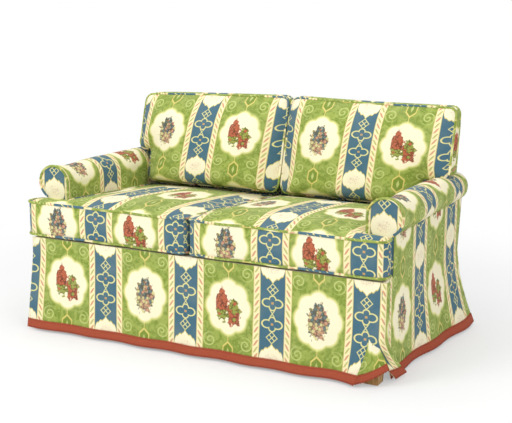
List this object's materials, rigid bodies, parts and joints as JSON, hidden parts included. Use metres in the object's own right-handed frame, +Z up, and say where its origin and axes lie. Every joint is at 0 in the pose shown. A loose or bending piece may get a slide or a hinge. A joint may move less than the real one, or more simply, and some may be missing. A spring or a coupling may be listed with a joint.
{
  "type": "upholstered sofa",
  "caption": "Upholstered sofa with a skirted base, set-back rolled arms and loose boxed, piped seat and back cushions.",
  "frame": {"origin": "on the floor below the middle of the bounding box", "axes": "+X to the viewer's right along the sofa's length, +Y from the front to the back, +Z up"},
  "size_m": [1.4324, 0.8695, 0.8317],
  "materials": {
    "printed_cloth": "woven printed cloth",
    "braid": "woven braid",
    "lining": "plain cotton lining",
    "hessian": "open weave hessian",
    "webbing": "woven jute webbing",
    "padding": "foam and wadding",
    "frame_wood": "planed hardwood",
    "foot_wood": "stained and waxed",
    "spring_steel": "drawn wire",
    "bolt_steel": "zinc plated",
    "clip_plastic": "moulded",
    "glide_plastic": "moulded",
    "zip_brass": "plain"
  },
  "bodies": {
    "frame": {"arm_facing_boards": "frame_wood", "arm_facing_left": "printed_cloth", "arm_facing_right": "printed_cloth", "arm_facing_welts": "printed_cloth", "arm_pad_left": "padding", "arm_pad_right": "padding", "arm_posts": "frame_wood", "arm_stuffing_rails": "frame_wood", "arm_top_rails": "frame_wood", "back_centre_post": "frame_wood", "back_pad": "padding", "back_post_left": "frame_wood", "back_post_right": "frame_wood", "back_rail": "frame_wood", "back_stuffing_rail": "frame_wood", "back_top_rail": "frame_wood", "back_webbing": "webbing", "corner_blocks": "frame_wood", "corner_pleats": "printed_cloth", "deck_cover": "lining", "deck_pad": "padding", "dust_cover": "lining", "foot_back_left": "foot_wood", "foot_back_right": "foot_wood", "foot_bolts": "bolt_steel", "foot_front_left": "foot_wood", "foot_front_right": "foot_wood", "foot_glides": "glide_plastic", "frame_dowels": "frame_wood", "front_rail": "frame_wood", "front_skirt": "printed_cloth", "inside_arm_cover_left": "printed_cloth", "inside_arm_cover_right": "printed_cloth", "inside_back_cover": "printed_cloth", "outside_arm_cover_left": "printed_cloth", "outside_arm_cover_right": "printed_cloth", "outside_back_cover": "printed_cloth", "seat_brace": "frame_wood", "seat_hessian": "hessian", "seat_springs": "spring_steel", "side_rail_left": "frame_wood", "side_rail_right": "frame_wood", "skirt_braid": "braid", "spring_clips": "clip_plastic"},
    "seat_left": {"seat_cushion_cover_left": "printed_cloth", "seat_cushion_filling_left": "padding", "seat_cushion_piping_left": "printed_cloth"},
    "seat_zip_left": {"seat_cushion_zip_slider_left": "zip_brass"},
    "seat_right": {"seat_cushion_cover_right": "printed_cloth", "seat_cushion_filling_right": "padding", "seat_cushion_piping_right": "printed_cloth"},
    "seat_zip_right": {"seat_cushion_zip_slider_right": "zip_brass"},
    "back_left": {"back_cushion_cover_left": "printed_cloth", "back_cushion_filling_left": "padding", "back_cushion_piping_left": "printed_cloth"},
    "back_zip_left": {"back_cushion_zip_slider_left": "zip_brass"},
    "back_right": {"back_cushion_cover_right": "printed_cloth", "back_cushion_filling_right": "padding", "back_cushion_piping_right": "printed_cloth"},
    "back_zip_right": {"back_cushion_zip_slider_right": "zip_brass"}
  },
  "joints": [
    {"name": "seat_cushion_left_pull", "type": "slide", "parent": "frame", "child": "seat_left", "axis": [0, -1, 0], "range_m": [0, 0.75]},
    {"name": "back_cushion_left_lift", "type": "slide", "parent": "frame", "child": "back_left", "axis": [0, 0, 1], "range_m": [0, 0.4]},
    {"name": "seat_cushion_right_pull", "type": "slide", "parent": "frame", "child": "seat_right", "axis": [0, -1, 0], "range_m": [0, 0.75]},
    {"name": "back_cushion_right_lift", "type": "slide", "parent": "frame", "child": "back_right", "axis": [0, 0, 1], "range_m": [0, 0.4]},
    {"name": "seat_zip_left_run", "type": "slide", "parent": "seat_left", "child": "seat_zip_left", "axis": [1, 0, 0], "range_m": [-0.18, 0.18]},
    {"name": "seat_zip_right_run", "type": "slide", "parent": "seat_right", "child": "seat_zip_right", "axis": [1, 0, 0], "range_m": [-0.18, 0.18]},
    {"name": "back_zip_left_run", "type": "slide", "parent": "back_left", "child": "back_zip_left", "axis": [1, 0, 0], "range_m": [-0.18, 0.18]},
    {"name": "back_zip_right_run", "type": "slide", "parent": "back_right", "child": "back_zip_right", "axis": [1, 0, 0], "range_m": [-0.18, 0.18]}
  ]
}
